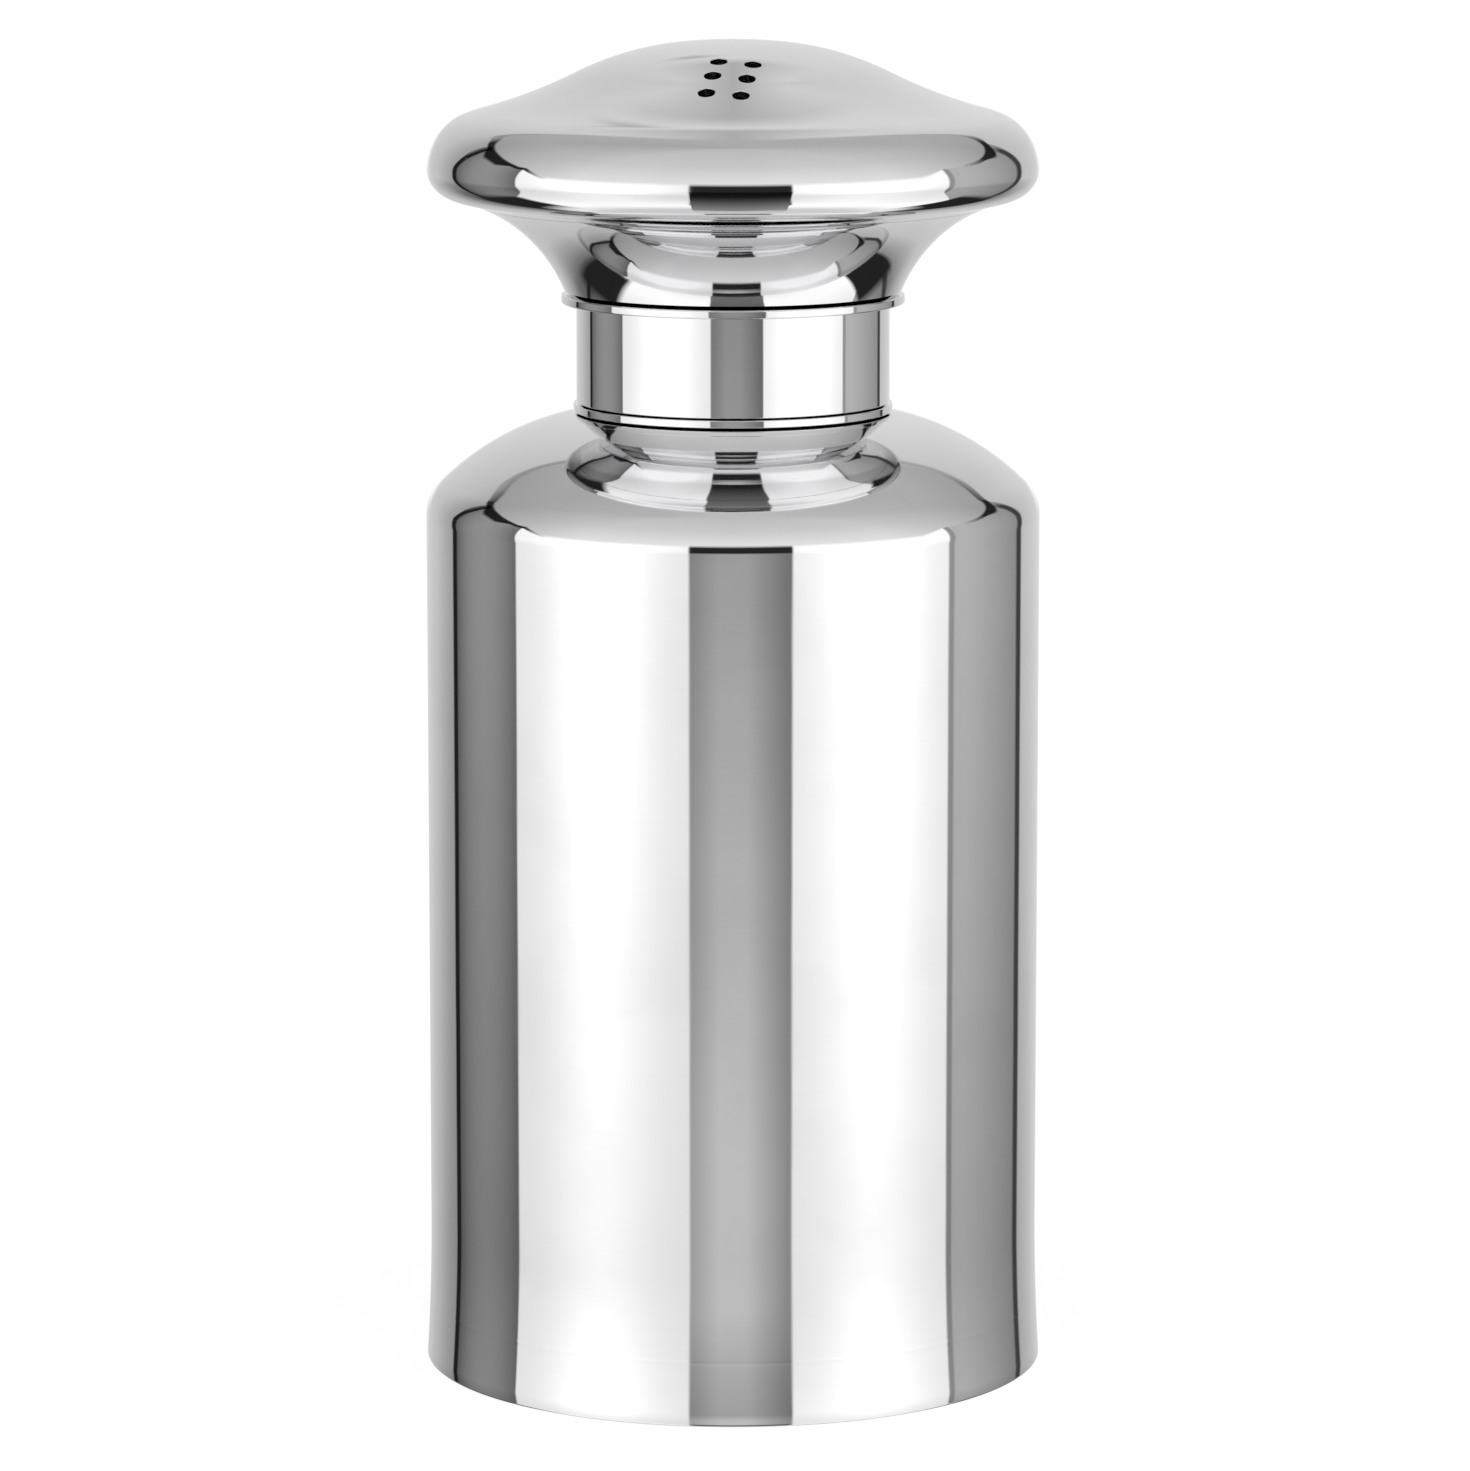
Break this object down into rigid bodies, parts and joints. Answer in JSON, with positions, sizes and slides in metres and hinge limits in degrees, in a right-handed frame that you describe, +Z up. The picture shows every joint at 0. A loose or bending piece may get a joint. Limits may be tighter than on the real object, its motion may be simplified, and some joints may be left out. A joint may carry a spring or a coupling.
{
  "type": "salt shaker",
  "caption": "Polished steel salt shaker: straight round bottle with a domed shoulder and a screw-on mushroom head with a flared neck and pouring holes on its front.",
  "frame": {"origin": "centre of the circle that the shaker stands on, at floor level", "axes": "+Z up along the shaker's axis; the side with the pouring holes faces -Y; +X to the right as seen from that side"},
  "size_m": [0.0404, 0.0404, 0.0866],
  "materials": {
    "polished_steel": "polished",
    "satin_steel": "satin",
    "seal_rubber": "matte",
    "insert_nylon": "satin"
  },
  "bodies": {
    "shaker_body": {"body_shell": "polished_steel", "base_plate": "satin_steel", "neck_sleeve": "satin_steel"},
    "seal": {"seal_ring": "seal_rubber"},
    "head": {"thread_insert": "insert_nylon", "collar": "polished_steel", "cap_flare": "polished_steel", "cap_dome": "polished_steel"}
  },
  "joints": [
    {"name": "head_rise", "type": "slide", "parent": "shaker_body", "child": "seal", "axis": [0, 0, 1], "range_m": [0, 0.006]},
    {"name": "head_turn", "type": "hinge", "parent": "seal", "child": "head", "pos_m": [0, 0, 0.066], "axis": [0, 0, 1], "range_deg": [0, 720]}
  ],
  "couplings": [
    {"joint": "head_rise", "follows": "head_turn", "m_per_rad": 0.00047746}
  ]
}
